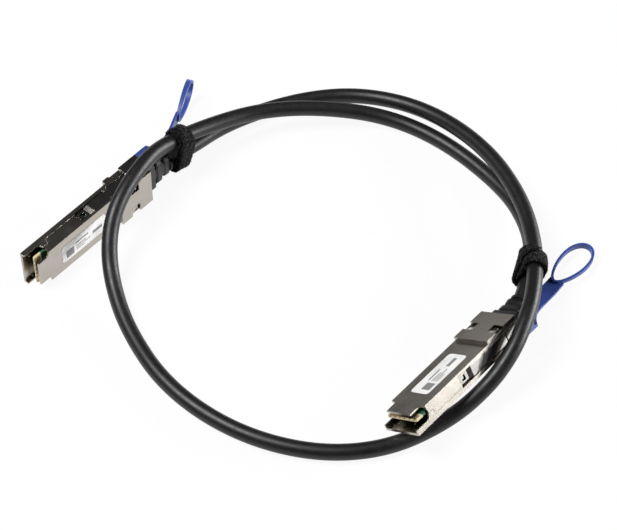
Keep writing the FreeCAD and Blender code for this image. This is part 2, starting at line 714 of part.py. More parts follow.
def held_strands(s, along):
    """Point and heading of the strand at this length of cable and of the nearest other strand."""
    step = 0.5
    path, tightest = cable_path(cable_points(s))
    samples = path.discretize(Distance=step)
    here = round(along / step) % len(samples)
    far = [index for index in range(len(samples)) if abs(index - here) * step > 100]
    there = min(far, key=lambda index: (samples[index] - samples[here]).Length)
    return [(samples[index], (samples[index + 4] - samples[index - 4]).normalize()) for index in (here, there)]


def stadium(half_gap, radius):
    """Outline round two strands, in y and z of its own frame."""
    a, b = FreeCAD.Vector(0, -radius, half_gap), FreeCAD.Vector(0, radius, half_gap)
    c, d = FreeCAD.Vector(0, radius, -half_gap), FreeCAD.Vector(0, -radius, -half_gap)
    top, low = FreeCAD.Vector(0, 0, half_gap + radius), FreeCAD.Vector(0, 0, -half_gap - radius)
    edges = [Part.Arc(a, top, b).toShape(), Part.LineSegment(b, c).toShape(),
             Part.Arc(c, low, d).toShape(), Part.LineSegment(d, a).toShape()]
    return Part.Face(Part.Wire(edges))


def make_tie(doc, s, label):
    """Hook-and-loop band round two strands, with its free end lapped over the band."""
    (first, way), (second, other_way) = held_strands(s, TIES[label])
    if way.dot(other_way) < 0:
        other_way = other_way * -1
    middle, heading, apart = (first + second) / 2, (way + other_way).normalize(), second - first
    frame = frame_at(middle, heading, apart)
    half_gap, radius = apart.Length / 2, s.cable_diameter.value / 2 + s.tie_gap.value
    length, sheet = s.tie_width.value, s.tie_sheet.value
    print(label, "strands are %.1f apart and %.1f degrees out of line"
          % (apart.Length, math.degrees(way.getAngle(other_way))))
    along = FreeCAD.Vector(length, 0, 0)
    band = stadium(half_gap, radius + sheet).extrude(along).cut(stadium(half_gap, radius).extrude(along))
    lap = stadium(half_gap, radius + 2 * sheet).extrude(along).cut(stadium(half_gap, radius + sheet).extrude(along))
    keep = Part.makeBox(length, 4 * radius, half_gap + 4 * radius,
                        FreeCAD.Vector(0, 0 if label == "right_tie" else -4 * radius, 0))
    shape = band.fuse(lap.common(keep)).removeSplitter()
    shape.translate(FreeCAD.Vector(-length / 2, 0, 0))
    shape.Placement = frame.multiply(shape.Placement)
    return add_feature(doc, label, shape, FreeCAD.Placement())


def make_plug(doc, s, name):
    placement = plug_placement(name)
    lean = PLUGS[name][2]
    makers = {"upper_shell": make_upper_shell, "lower_shell": make_lower_shell, "rear_cover": make_rear_cover,
              "paddle_card": make_paddle_card, "latch_keeper": make_keeper, "latch_slide": make_latch,
              "label": make_label}
    pieces = [maker(doc, s, "%s_%s" % (name, part), placement) for part, maker in makers.items()]
    pieces.append(make_screw(doc, s, name + "_screw_1", placement, 5.2))
    pieces.append(make_screw(doc, s, name + "_screw_2", placement, -5.2))
    pieces.append(make_boot(doc, s, name + "_strain_relief", placement, lean))
    pieces.append(make_pull_tab(doc, s, name + "_pull_tab", placement, TABS[name]))
    return pieces


def check_document(doc):
    for thing in doc.Objects:
        bad = [word for word in thing.State if word in ("Invalid", "Error")]
        if bad:
            raise RuntimeError("%s is %s" % (thing.Name, bad))


def check_pieces(pieces):
    for piece in pieces:
        shape = piece.Shape
        if shape.isNull() or not shape.isValid() or len(shape.Solids) != 1:
            raise RuntimeError("%s is not one sound solid (%d)" % (piece.Label, len(shape.Solids)))


def main():
    doc = FreeCAD.newDocument("direct_attach_cable")
    s = make_sheet(doc)
    pieces = make_plug(doc, s, "left") + make_plug(doc, s, "right")
    pieces.append(make_cable(doc, s))
    pieces += [make_tie(doc, s, label) for label in TIES]
    doc.recompute()
    check_document(doc)
    check_pieces(pieces)
    os.makedirs("parts", exist_ok=True)
    for piece in pieces:
        piece.Shape.exportStep("parts/%s.step" % piece.Label)
        box = piece.Shape.BoundBox
        print("%-22s volume %8.1f  x %.1f %.1f  y %.1f %.1f  z %.1f %.1f" % (
            piece.Label, piece.Shape.Volume, box.XMin, box.XMax, box.YMin, box.YMax, box.ZMin, box.ZMax))


main()
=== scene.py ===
"""Looks of a direct attach copper cable: jacket, ties, plugs, pull tabs and a plain studio."""
import math
from collections import namedtuple

import bpy
import numpy as np
from bpy.props import FloatProperty, FloatVectorProperty, IntProperty, PointerProperty
from mathutils import Euler, Matrix, Vector


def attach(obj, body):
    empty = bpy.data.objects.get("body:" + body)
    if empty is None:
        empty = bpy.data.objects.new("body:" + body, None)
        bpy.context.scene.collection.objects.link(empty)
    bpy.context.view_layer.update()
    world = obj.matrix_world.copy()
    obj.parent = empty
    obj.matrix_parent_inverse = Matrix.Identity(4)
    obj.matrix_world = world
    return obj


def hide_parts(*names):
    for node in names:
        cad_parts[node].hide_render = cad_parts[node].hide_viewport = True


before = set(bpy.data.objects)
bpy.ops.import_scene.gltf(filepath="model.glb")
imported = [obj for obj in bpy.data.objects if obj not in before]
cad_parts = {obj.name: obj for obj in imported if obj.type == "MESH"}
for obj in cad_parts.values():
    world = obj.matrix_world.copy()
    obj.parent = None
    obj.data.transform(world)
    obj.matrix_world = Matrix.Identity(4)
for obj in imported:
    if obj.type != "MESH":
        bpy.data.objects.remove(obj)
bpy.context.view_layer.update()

bl_info = {
    "name": "Direct attach copper cable",
    "version": (1, 0, 0),
    "blender": (4, 5, 0),
    "location": "3D View > Sidebar > Cable",
    "description": "Builds the jacket, ties, contacts and finishes of a direct attach copper cable",
    "category": "Add Mesh",
}

ROOT = "plugs_and_cable"
MM = 0.001

# The cable's route from the left boot to the right one, in metres.
ROUTE = [
    (-0.06193, 0.05166, 0.00874), (-0.05367, 0.05888, 0.00785), (-0.03588, 0.07857, 0.0040),
    (-0.00498, 0.09297, 0.0035), (0.02382, 0.09617, 0.0035), (0.05252, 0.08297, 0.0074),
    (0.07622, 0.05457, 0.0138), (0.08972, 0.02317, 0.0162), (0.09362, -0.00543, 0.0178),
    (0.09082, -0.03153, 0.0214), (0.08672, -0.04533, 0.0212), (0.08092, -0.05833, 0.0172),
    (0.07122, -0.06953, 0.0096), (0.05512, -0.08203, 0.0035), (0.03012, -0.09593, 0.0034),
    (0.00082, -0.09803, 0.0034), (-0.03068, -0.08753, 0.0034), (-0.05808, -0.06543, 0.0034),
    (-0.07528, -0.03623, 0.0035), (-0.08308, -0.01213, 0.0074), (-0.08408, 0.00407, 0.0164),
    (-0.07988, 0.01777, 0.0234), (-0.07068, 0.03507, 0.0260), (-0.06238, 0.04947, 0.0216),
    (-0.04448, 0.06507, 0.0164), (-0.02218, 0.07817, 0.0120), (0.00372, 0.08177, 0.0102),
    (0.03372, 0.08207, 0.0044), (0.06012, 0.06717, 0.0034), (0.08422, 0.03967, 0.0036),
    (0.09242, 0.01707, 0.0064), (0.09322, -0.00413, 0.0092), (0.09052, -0.01558, 0.01058),
    (0.08665, -0.02692, 0.01015),
]

# Nose tip of each plug in metres, then its yaw, pitch and roll in degrees.
PLUGS = {
    "left": ((-0.11218, -0.01243, 0.009175), (49.2, 0.0, 90.0)),
    "right": ((0.03432, -0.08853, 0.01805), (50.0, 3.18, -32.3)),
}

# Each tie: the middle of the band as a length of cable from the start, or back from the far end
# where negative; the turns that it makes; the turns over which its free end narrows; how pointed
# that end is, where 1 gives straight sides; and how far the lap drifts along the strands.
Winding = namedtuple("Winding", "along turns tongue point drift")
TIES = {
    "left": Winding(along=0.0046, turns=1.42, tongue=0.16, point=0.5, drift=0.0004),
    "right": Winding(along=-0.0128, turns=1.37, tongue=0.17, point=0.85, drift=-0.0034),
}
SAME_STRAND = 0.1           # metres of cable within which a place counts as the same strand

# Details of a plug, in millimetres in its own frame: x from the nose tip to the rear, y across,
# z up from the label face.
HALF_WIDTH = 9.175
SEAM_CORNERS = ((6.8, -3.8), (9.6, -3.8), (10.1, -6.2), (27.2, -6.2))
SEAM_RADIUS, SEAM_HEIGHT = 0.13, 0.09
# Seam colour as a share of the shell's, per plug: a painted highlight on the left plug, painted
# shade on the right.
SEAM_PAINTED_LIGHT = {"left": 1.1, "right": 0.42}
GROOVE_ENDS = (7.1, 11.7)
GROOVE_SIDES = ((3.5, 4.5), (-4.5, -3.5))
FILL_LEVEL = 0.004
NOSE_FLOOR = -7.4
DOT_SPOTS = ((1.9, -8.0), (1.9, 4.7), (3.2, -3.0))
DOT_RADIUS, DOT_HEIGHT = 0.45, 0.25
PADS, PAD_PITCH, PAD_WIDTH = 19, 0.8, 0.54
PAD_ENDS = (0.95, 3.4)
PAD_LAYERS = ((-2.77, -2.81), (-3.79, -3.83))
GAPS, GAP_PITCH, FIRST_GAP, GAP_WIDTH = 6, 2.65, -6.9, 0.44
LABEL_LAYER = (0.1, 0.112)
# The square and the bars on a label: from and to along the plug, then from and to across it.
LABEL_BARS = ((15.4, 19.8, -3.6, 0.8), (21.2, 28.6, 1.1, 1.9), (21.2, 27.0, -0.9, -0.3),
              (21.2, 29.5, -2.0, -1.5), (21.2, 26.0, -3.1, -2.6), (31.0, 36.6, -1.4, 0.4))

# Roughness of the metals, from their smoothest to their roughest patches.
SHELL_ROUGHNESS = (0.22, 0.26)
LATCH_ROUGHNESS = (0.10, 0.17)
SCREW_ROUGHNESS = (0.25, 0.35)
SEAM_ROUGHNESS = (0.2, 0.28)
GOLD_ROUGHNESS = (0.2, 0.3)

# The camera looks down on the cable from the front, this many degrees below level.
CAMERA_PLACE = (-0.00068, -0.58386, 0.72232)
CAMERA_DIP = 51.038
CAMERA_LENS = 128.36
WHITE_SHARE = 0.92          # of plain white in what the camera sees of the floor


# ---------------------------------------------------------------- settings

def colour(name, words, default):
    """Setting for a colour, with its default in linear light."""
    return FloatVectorProperty(name=name, description=words, subtype="COLOR", size=3,
                               min=0, max=1, default=default)


def length(name, words, default):
    """Setting for a size, with its default in metres."""
    return FloatProperty(name=name, description=words, unit="LENGTH", min=0, default=default)


class CableSettings(bpy.types.PropertyGroup):
    """Jacket of the cable"""
    diameter: length("Diameter", "Outer diameter of the jacket", 0.0068)
    jacket: colour("Jacket", "Colour of the cable jacket", (0.0085, 0.0085, 0.009))


class TieSettings(bpy.types.PropertyGroup):
    """Hook-and-loop ties"""
    width: length("Width", "Width of the hook-and-loop band", 0.0072)
    thickness: length("Thickness", "Thickness of one layer of the band", 0.0015)
    room: length("Room", "Gap between the band and the cable", 0.0003)
    pile: length("Pile", "Height of the loops on the band", 0.0004)
    fibres: IntProperty(name="Fibres", description="Loose fibres on each tie", min=0, default=1500)
    fabric: colour("Fabric", "Colour of the band", (0.008, 0.008, 0.0085))


class PlugSettings(bpy.types.PropertyGroup):
    """Plugs with their cards, labels and strain reliefs"""
    shell: colour("Shell", "Nickel plate of the die-cast shells", (0.465, 0.432, 0.386))
    # Dark olive painted as shade on the inner floor of the lower nose.
    nose_painted_shade: colour("Nose floor", "Inner floor of the lower nose", (0.15, 0.128, 0.088))
    latch: colour("Latch", "Stamped sheet of the latch", (0.60, 0.58, 0.55))
    card: colour("Card", "Solder mask of the paddle card", (0.02, 0.13, 0.06))
    gold: colour("Gold", "Plating of the card's contacts", (0.80, 0.64, 0.34))
    cream: colour("Cream", "Bare front of the paddle card", (0.66, 0.56, 0.34))
    boot: colour("Boot", "Moulded strain relief", (0.007, 0.007, 0.0075))
    sticker: colour("Sticker", "Face of the blank label", (0.86, 0.86, 0.85))
    ink: colour("Ink", "Plain bars on the label", (0.22, 0.22, 0.22))


class TabSettings(bpy.types.PropertyGroup):
    """Pull tabs"""
    plastic: colour("Plastic", "Moulded plastic of the pull tabs", (0.032, 0.066, 0.29))


class StageSettings(bpy.types.PropertyGroup):
    """Floor and lamps"""
    floor: colour("Floor", "Colour of the floor", (0.86, 0.86, 0.86))
    key: FloatProperty(name="Key lamp", description="Power of the lamp overhead", unit="POWER",
                       default=18.0)
    side: FloatProperty(name="Side lamp", description="Power of the strip lamp on the right",
                        unit="POWER", default=27.0)
    fill: FloatProperty(name="World", description="Strength of the even light from all round",
                        default=0.03)


SETTINGS = {
    "cable_jacket": CableSettings, "cable_ties": TieSettings, "cable_plugs": PlugSettings,
    "cable_tabs": TabSettings, "cable_stage": StageSettings,
}


# ---------------------------------------------------------------- mesh helpers

def grid_faces(rows, cols, loop_rows, loop_cols):
    """Quads of a grid of rows by cols points, joined round where a direction is a loop."""
    i = np.arange(rows if loop_rows else rows - 1)[:, None]
    j = np.arange(cols if loop_cols else cols - 1)[None, :]
    a = i * cols + j
    b = i * cols + (j + 1) % cols
    c = ((i + 1) % rows) * cols + (j + 1) % cols
    d = ((i + 1) % rows) * cols + j
    return np.stack([a, b, c, d], axis=-1).reshape(-1, 4)


def mesh_object(name, points, faces, smooth=True):
    """One mesh object from an array of points and an array of faces with equal corner counts."""
    mesh = bpy.data.meshes.new(name)
    points = np.asarray(points, dtype=np.float32).reshape(-1, 3)
    faces = np.asarray(faces, dtype=np.int32)
    corners = faces.shape[1]
    mesh.vertices.add(len(points))
    mesh.vertices.foreach_set("co", points.ravel())
    mesh.loops.add(faces.size)
    mesh.loops.foreach_set("vertex_index", faces.ravel())
    mesh.polygons.add(len(faces))
    mesh.polygons.foreach_set("loop_start", np.arange(0, faces.size, corners, dtype=np.int32))
    mesh.polygons.foreach_set("loop_total", np.full(len(faces), corners, dtype=np.int32))
    mesh.polygons.foreach_set("use_smooth", np.full(len(faces), smooth, dtype=bool))
    mesh.update(calc_edges=True)
    mesh.validate()
    thing = bpy.data.objects.new(name, mesh)
    bpy.context.scene.collection.objects.link(thing)
    return thing


def plug_frame(name):
    """Turn and place of a plug: x runs rearward from the nose tip, z is square to the label face."""
    place, turns = PLUGS[name]
    yaw, pitch, roll = (Matrix.Rotation(math.radians(turn), 3, axis)
                        for turn, axis in zip(turns, "ZYX"))
    return np.array(yaw @ pitch @ roll), np.array(place)


def from_plug(name, points):
    """Points given in millimetres in a plug's own frame, brought to the row frame in metres."""
    turn, place = plug_frame(name)
    return np.asarray(points, dtype=float) * MM @ turn.T + place


# ---------------------------------------------------------------- materials

def start_material(name, colour, roughness, metallic=0.0):
    """New node material with a Principled shader; returns the material, its tree and the shader."""
    material = bpy.data.materials.new(name)
    material.use_nodes = True
    tree = material.node_tree
    shader = tree.nodes["Principled BSDF"]
    shader.inputs["Base Color"].default_value = (*colour, 1.0)
    shader.inputs["Roughness"].default_value = roughness
    shader.inputs["Metallic"].default_value = metallic
    return material, tree, shader


def shader_of(material):
    """The Principled shader of a finish."""
    return material.node_tree.nodes["Principled BSDF"]


def add_node(tree, kind, **inputs):
    """New node with values on its sockets; an underscore stands for the space in a socket's name."""
    node = tree.nodes.new(kind)
    for key, value in inputs.items():
        node.inputs[key.replace("_", " ")].default_value = value
    return node


def object_noise(tree, scale, detail=3.0):
    """Noise over Object coordinates."""
    place = tree.nodes.new("ShaderNodeTexCoord")
    noise = add_node(tree, "ShaderNodeTexNoise", Scale=scale, Detail=detail)
    tree.links.new(place.outputs["Object"], noise.inputs["Vector"])
    return noise.outputs["Fac"]


def vary_roughness(tree, shader, source, low, high):
    """Roughness between two values, by a noise whose middle range counts."""
    ramp = add_node(tree, "ShaderNodeMapRange", From_Min=0.3, From_Max=0.7, To_Min=low, To_Max=high)
    tree.links.new(source, ramp.inputs["Value"])
    tree.links.new(ramp.outputs["Result"], shader.inputs["Roughness"])


def vary_colour(tree, shader, source, dark, light, low=0.35, high=0.65):
    """Colour between a darker and a lighter one, by a noise between two of its values."""
    ramp = tree.nodes.new("ShaderNodeValToRGB")
    first, last = ramp.color_ramp.elements
    first.position, last.position = low, high
    first.color, last.color = (*dark, 1.0), (*light, 1.0)
    tree.links.new(source, ramp.inputs["Fac"])
    tree.links.new(ramp.outputs["Color"], shader.inputs["Base Color"])


def add_bump(tree, shader, source, distance, strength=1.0, round_edge=0.0):
    """Bump from a source, over edges that a Bevel node rounds where asked."""
    bump = add_node(tree, "ShaderNodeBump", Strength=strength, Distance=distance)
    tree.links.new(source, bump.inputs["Height"])
    if round_edge:
        bevel = add_node(tree, "ShaderNodeBevel", Radius=round_edge)
        bevel.samples = 4
        tree.links.new(bevel.outputs["Normal"], bump.inputs["Normal"])
    tree.links.new(bump.outputs["Normal"], shader.inputs["Normal"])


def combine(tree, operation, *sockets):
    """One value from several, by the same Math operation over and over."""
    result = sockets[0]
    for socket in sockets[1:]:
        step = tree.nodes.new("ShaderNodeMath")
        step.operation = operation
        tree.links.new(result, step.inputs[0])
        tree.links.new(socket, step.inputs[1])
        result = step.outputs["Value"]
    return result


def scaled(colour, factor):
    """A darker or lighter colour, never past white."""
    return tuple(min(1.0, channel * factor) for channel in colour)


def metal_finish(name, colour, roughness):
    """Plated metal: soft cloudy roughness and a faint cast grain."""
    low, high = roughness
    material, tree, shader = start_material(name, colour, (low + high) / 2, metallic=1.0)
    clouds = object_noise(tree, 160.0, detail=4.0)
    vary_roughness(tree, shader, clouds, low, high)
    vary_colour(tree, shader, clouds, scaled(colour, 0.96), scaled(colour, 1.03))
    add_bump(tree, shader, object_noise(tree, 5200.0, detail=2.0), distance=0.0000014,
             strength=0.25, round_edge=0.00012)
    return material


def jacket_finish(name, colour):
    """Extruded jacket: nearly black, satin, with a very fine grain."""
    material, tree, shader = start_material(name, colour, roughness=0.38)
    shader.inputs["Specular IOR Level"].default_value = 0.46
    vary_roughness(tree, shader, object_noise(tree, 420.0, detail=4.0), 0.37, 0.47)
    vary_colour(tree, shader, object_noise(tree, 60.0), scaled(colour, 0.85), scaled(colour, 1.2))
    add_bump(tree, shader, object_noise(tree, 3500.0), distance=0.000006, strength=0.4)
    return material


def moulded_finish(name, colour, roughness, grain, round_edge):
    """Moulded plastic, rubber, mask or print: even, with a grain of the given height."""
    material, tree, shader = start_material(name, colour, roughness)
    vary_roughness(tree, shader, object_noise(tree, 350.0), roughness - 0.05, roughness + 0.06)
    vary_colour(tree, shader, object_noise(tree, 90.0), scaled(colour, 0.9), scaled(colour, 1.1))
    add_bump(tree, shader, object_noise(tree, 2600.0), grain, 0.5, round_edge)
    return material


def fabric_finish(name, colour):
    """Looped pile: dull, speckled, with a little sheen."""
    material, tree, shader = start_material(name, colour, roughness=0.95)
    shader.inputs["Sheen Weight"].default_value = 0.04
    shader.inputs["Sheen Roughness"].default_value = 0.5
    shader.inputs["Specular IOR Level"].default_value = 0.12
    specks = object_noise(tree, 1250.0, detail=2.0)
    vary_colour(tree, shader, specks, scaled(colour, 0.3), scaled(colour, 5.0), low=0.46, high=0.7)
    add_bump(tree, shader, object_noise(tree, 1500.0), distance=0.0003)
    return material


def dress(node, material):
    """Give a CAD node one material."""
    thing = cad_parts[node]
    thing.data.materials.clear()
    thing.data.materials.append(material)


# ---------------------------------------------------------------- cable and ties

def cable_line():
    """Points of the cable's smooth centre line, read from a curve with no bevel."""
    curve = route_curve("centre_line_sample", 0.0)
    graph = bpy.context.evaluated_depsgraph_get()
    mesh = bpy.data.meshes.new_from_object(curve.evaluated_get(graph))
    line = np.zeros(len(mesh.vertices) * 3)
    mesh.vertices.foreach_get("co", line)
    bpy.data.meshes.remove(mesh)
    data = curve.data
    bpy.data.objects.remove(curve)
    bpy.data.curves.remove(data)
    return line.reshape(-1, 3)


def route_curve(name, diameter):
    """One open NURBS spline with the route's points as its control points."""
    data = bpy.data.curves.new(name, "CURVE")
    data.dimensions = "3D"
    data.resolution_u = 16
    data.render_resolution_u = 16
    data.bevel_depth = diameter / 2
    data.bevel_resolution = 8
    spline = data.splines.new("NURBS")
    spline.points.add(len(ROUTE) - 1)
    flat = np.column_stack([np.array(ROUTE), np.ones(len(ROUTE))])
    spline.points.foreach_set("co", flat.ravel())
    spline.order_u = 3
    spline.use_endpoint_u = True
    thing = bpy.data.objects.new(name, data)
    bpy.context.scene.collection.objects.link(thing)
    bpy.context.view_layer.update()
    return thing


def held_strands(line, along):
    """Point and heading of the strand at this length and of the nearest other strand."""
    steps = np.linalg.norm(np.diff(line, axis=0), axis=1)
    run = np.concatenate([[0.0], np.cumsum(steps)])
    here = int(np.abs(run - (along if along > 0 else run[-1] + along)).argmin())
    away = np.linalg.norm(line - line[here], axis=1)
    away[np.abs(run - run[here]) < SAME_STRAND] = np.inf
    there = int(away.argmin())
    pair = []
    for index in (here, there):
        heading = line[index + 2] - line[index - 2]
        pair.append((line[index], heading / np.linalg.norm(heading)))
    (first, way), (second, other) = pair
    if way @ other < 0:
        other = -other
    return first, way, second, other


def band_path(turn, half, inner):
    """Path round two strands, as the angle that it faces and its level between the strands.

    It runs up the left side, round the top, down the right side and round the bottom: straight
    sides twice as long as half the strands' distance, and half circles of the inner radius.
    """
    bend = math.pi * inner
    reach = (turn % 1.0) * (2 * bend + 4 * half)
    places = [reach < 2 * half, reach < 2 * half + bend, reach < 4 * half + bend]
    angle = np.select(places, [math.pi, math.pi - (reach - 2 * half) / inner, 0.0],
                      -(reach - 4 * half - bend) / inner)
    level = np.select(places, [-half + reach, half, half - (reach - 2 * half - bend)], -half)
    return angle, level


def tie_surface(strands, size, cable_radius, winding, seed):
    """Band wound round two strands.

    The first parameter runs along the band, once round the pair and on over its own start; the path
    is two straight sides joined by half circles round the strands, and it spirals outward by one
    thickness just before it laps itself.  The second parameter runs round the band's section, a
    rounded rectangle.  The section narrows to a tongue at the free end, and the lap drifts along the
    strands.  Small bumps from summed waves and seeded noise stand for the pile.
    """
    rng = np.random.default_rng(seed)
    rows, cols = 300, 44
    first, way, second, other = strands
    apart = second - first
    middle, half = (first + second) / 2, np.linalg.norm(apart) / 2
    heading = way + other
    heading /= np.linalg.norm(heading)
    up = apart / np.linalg.norm(apart)
    up = up - heading * (up @ heading)
    up /= np.linalg.norm(up)
    side = np.cross(up, heading)
    inner = cable_radius + size.room

    turn = np.linspace(0.0, winding.turns, rows)
    angle, level = band_path(turn, half, inner)
    outward = np.cos(angle)[:, None] * side + np.sin(angle)[:, None] * up
    climb = np.clip((turn - 0.84) / 0.16, 0, 1)
    climb = climb * climb * (3 - 2 * climb) * size.thickness * 1.04
    share = np.clip((level + half) / (2 * half), 0, 1)[:, None]
    leaning = way * (1 - share) + other * share
    narrow = np.clip((winding.turns - turn) / winding.tongue, 0.02, 1) ** winding.point
    begin = np.clip(turn / 0.01, 0.05, 1) ** 0.5
    lapped = np.clip((turn - 0.7) / (winding.turns - 0.7), 0, 1)

    section = np.linspace(0, 2 * math.pi, cols, endpoint=False)
    wide = np.sign(np.cos(section)) * np.abs(np.cos(section)) ** 0.35
    thick = np.sign(np.sin(section)) * np.abs(np.sin(section)) ** 0.6
    across = 0.5 * size.width * (narrow * begin)[:, None] * wide[None, :]
    across = across + winding.drift * lapped[:, None] ** 1.5
    full = np.minimum(1, narrow * begin * 1.6)[:, None]
    rise = inner + climb[:, None] + size.thickness * (0.5 + 0.5 * thick[None, :] * full)

    ripple = (0.5 * np.sin(turn[:, None] * 97 + 3.1 * wide[None, :])
              + 0.5 * np.sin(turn[:, None] * 231 - 7.3 * wide)
              + rng.normal(0, 0.7, (rows, cols)))
    lift = size.pile * 0.28 * ripple * np.clip(thick[None, :] + 0.6, 0, 1)
    edge = size.pile * 0.5 * rng.normal(0, 0.6, (rows, cols)) * np.abs(wide[None, :]) ** 6
    points = (middle + level[:, None, None] * up
              + outward[:, None, :] * (rise + lift)[:, :, None]
              + leaning[:, None, :] * (across + edge)[:, :, None])
    normals = outward[:, None, :] * np.ones((rows, cols, 1))
    return points, normals, thick


def close_ends(faces, rows, cols):
    """Quads across the first and last ring of a tube, each pairing points of its two halves."""
    half = cols // 2
    j = np.arange(half - 1)
    first = np.stack([j, j + 1, cols - 2 - j, cols - 1 - j], axis=-1)
    last = (rows - 1) * cols + first[:, ::-1]
    return np.concatenate([faces, first, last])


def fibres(points, normals, keep, count, seed, height):
    """Short bent fibres: each is a thin ribbon of two quads standing on a random place of the band.

    A ribbon rises from just under the surface, bends at three quarters of its height and leans
    over to its tip, which is half as wide.
    """
    rng = np.random.default_rng(seed)
    spots = np.flatnonzero(keep)
    pick = rng.choice(spots, count)
    foot = points.reshape(-1, 3)[pick]
    up = normals.reshape(-1, 3)[pick]
    lean = rng.normal(0, 1, (count, 3))
    lean -= up * (lean * up).sum(1)[:, None]
    lean /= np.linalg.norm(lean, axis=1)[:, None]
    wide = np.cross(up, lean) * 0.00003
    tall = height * rng.uniform(0.5, 1.3, (count, 1))
    mid = foot + up * tall * 0.75 + lean * tall * 0.35
    end = foot + up * tall * 0.9 + lean * tall * 1.1
    low = foot - up * height * 0.3
    ribbon = np.stack([low - wide, low + wide, mid + wide, mid - wide,
                       end + wide * 0.5, end - wide * 0.5], axis=1)
    base = np.arange(count)[:, None] * 6
    quads = np.concatenate([base + np.array([0, 1, 2, 3]), base + np.array([3, 2, 4, 5])])
    return ribbon.reshape(-1, 3), quads


class AddCable(bpy.types.Operator):
    """Round jacket along the route, from boot to boot"""
    bl_idname = "cable.add_cable"
    bl_label = "Cable"

    def execute(self, context):
        size = context.scene.cable_jacket
        cable = route_curve("cable_jacket", size.diameter)
        cable.data.materials.append(jacket_finish("jacket", size.jacket))
        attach(cable, ROOT)
        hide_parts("cable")
        return {"FINISHED"}


class AddTies(bpy.types.Operator):
    """Hook-and-loop bands that hold two strands each"""
    bl_idname = "cable.add_ties"
    bl_label = "Ties"

    def execute(self, context):
        size = context.scene.cable_ties
        radius = context.scene.cable_jacket.diameter / 2
        line = cable_line()
        fabric = fabric_finish("tie_fabric", size.fabric)
        for seed, (name, winding) in enumerate(TIES.items(), start=5):
            strands = held_strands(line, winding.along)
            points, normals, thick = tie_surface(strands, size, radius, winding, seed)
            rows, cols = points.shape[:2]
            faces = close_ends(grid_faces(rows, cols, False, True), rows, cols)
            outside = np.broadcast_to(thick[None, :] > -0.2, (rows, cols)).ravel()
            fluff, quads = fibres(points, normals, outside, size.fibres, seed + 20, size.pile)
            band = mesh_object(name + "_tie_band", np.concatenate([points.reshape(-1, 3), fluff]),
                               np.concatenate([faces, quads + rows * cols]))
            band.data.materials.append(fabric)
            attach(band, ROOT)
            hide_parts(name + "_tie")
        return {"FINISHED"}


# ---------------------------------------------------------------- plugs

def block_points(boxes):
    """Corner points and faces of many blocks, each given by two opposite corners.

    Each corner takes each coordinate from the first or the second of them: first the four low
    corners in turn, then the four high ones.
    """
    boxes = np.asarray(boxes, dtype=float)
    pick = np.array([[0, 0, 0], [1, 0, 0], [1, 1, 0], [0, 1, 0],
                     [0, 0, 1], [1, 0, 1], [1, 1, 1], [0, 1, 1]])
    points = boxes[:, 0, None, :] * (1 - pick) + boxes[:, 1, None, :] * pick
    sides = np.array([[0, 3, 2, 1], [4, 5, 6, 7], [0, 1, 5, 4],
                      [1, 2, 6, 5], [2, 3, 7, 6], [3, 0, 4, 7]])
    faces = sides[None] + np.arange(len(boxes))[:, None, None] * 8
    return points.reshape(-1, 3), faces.reshape(-1, 4)


def plug_place(tree, name):
    """Coordinates in a plug's own frame, in metres, from the Object coordinates of a CAD node."""
    place, turns = PLUGS[name]
    source = tree.nodes.new("ShaderNodeTexCoord")
    mapping = add_node(tree, "ShaderNodeMapping", Location=place,
                       Rotation=[math.radians(turn) for turn in reversed(turns)])
    mapping.vector_type = "TEXTURE"
    split = tree.nodes.new("ShaderNodeSeparateXYZ")
    tree.links.new(source.outputs["Object"], mapping.inputs["Vector"])
    tree.links.new(mapping.outputs["Vector"], split.inputs["Vector"])
    return split.outputs


def share_between(tree, socket, first, last):
    """A share that goes from 0 to 1 as a coordinate goes between two values in millimetres."""
    step = add_node(tree, "ShaderNodeMapRange", From_Min=first * MM, From_Max=last * MM)
    tree.links.new(socket, step.inputs["Value"])
    return step.outputs["Result"]


def paint_over(material, share, colour):
    """Lay a plain colour over the one that a finish has, where the share is 1."""
    tree, shader = material.node_tree, shader_of(material)
    mix = add_node(tree, "ShaderNodeMix")
    mix.data_type = "RGBA"
    mix.inputs["B"].default_value = (*colour, 1.0)
    tree.links.new(share, mix.inputs["Factor"])
    tree.links.new(shader.inputs["Base Color"].links[0].from_socket, mix.inputs["A"])
    tree.links.new(mix.outputs["Result"], shader.inputs["Base Color"])


def nose_with_painted_shade(name, size):
    """Nickel plate, with painted shade on the inner floor of the lower nose: a dull dark olive that
    fades in behind the front edge.
    """
    material = metal_finish(name + "_lower_nickel_painted_shade", size.shell, SHELL_ROUGHNESS)
    tree = material.node_tree
    place = plug_place(tree, name)
    aside = tree.nodes.new("ShaderNodeMath")
    aside.operation = "ABSOLUTE"
    tree.links.new(place["Y"], aside.inputs[0])
    # Share of the painted shade: within the inner sides, not lower than just under the nose floor,
    # fading in behind the front edge.
    inside = combine(tree, "MULTIPLY",
                     share_between(tree, place["Z"], NOSE_FLOOR - 0.5, NOSE_FLOOR - 0.3),
                     share_between(tree, aside.outputs["Value"], 8.4, 8.2),
                     share_between(tree, place["X"], -1.6, 0.4))
    paint_over(material, inside, size.nose_painted_shade)
    return material


def card_finish(name, size):
    """Green solder mask with a bare cream strip at the front edge."""
    material = moulded_finish(name + "_card", size.card, 0.35, grain=0.000004, round_edge=0.0001)
    tree = material.node_tree
    front = share_between(tree, plug_place(tree, name)["X"], 4.4, 4.2)
    paint_over(material, front, size.cream)
    return material


